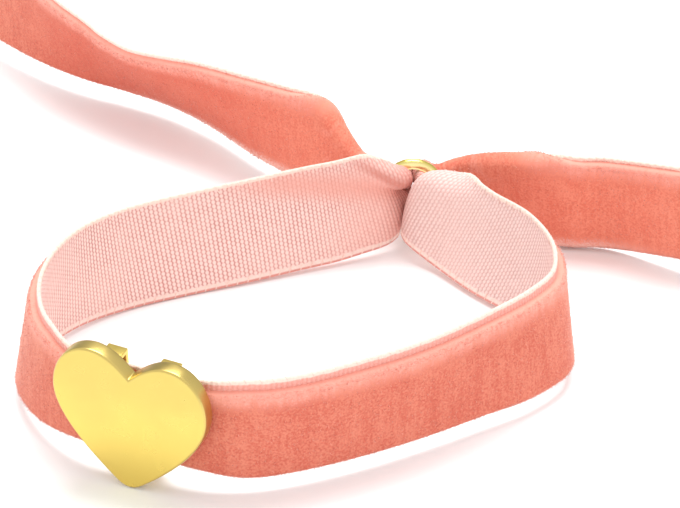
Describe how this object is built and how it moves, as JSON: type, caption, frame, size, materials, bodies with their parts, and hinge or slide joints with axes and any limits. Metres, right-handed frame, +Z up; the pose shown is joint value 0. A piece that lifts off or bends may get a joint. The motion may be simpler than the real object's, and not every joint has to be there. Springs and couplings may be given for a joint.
{
  "type": "velvet ribbon bracelet",
  "caption": "Velvet ribbon wrist loop threaded through a small gathering ring at the back, with a metal heart slider on the front and free ribbon tails.",
  "frame": {"origin": "middle of the bounding box, on the surface that the bracelet lies on", "axes": "+Z up across the ribbon, -Y towards the heart slider at the front of the loop, +Y towards the ring and the tails, the longest side of the box along Y"},
  "size_m": [0.0714, 0.0886, 0.013],
  "materials": {
    "velvet": "coral velvet pile outside, pale pink ribbed weave inside",
    "heart_gold": "pale gold plate, brushed flat front, polished rim",
    "ring_gold": "pale gold plate, polished"
  },
  "bodies": {
    "root": {"velvet_ribbon": "velvet", "heart_slider": "heart_gold", "gold_ring": "ring_gold"}
  },
  "joints": []
}
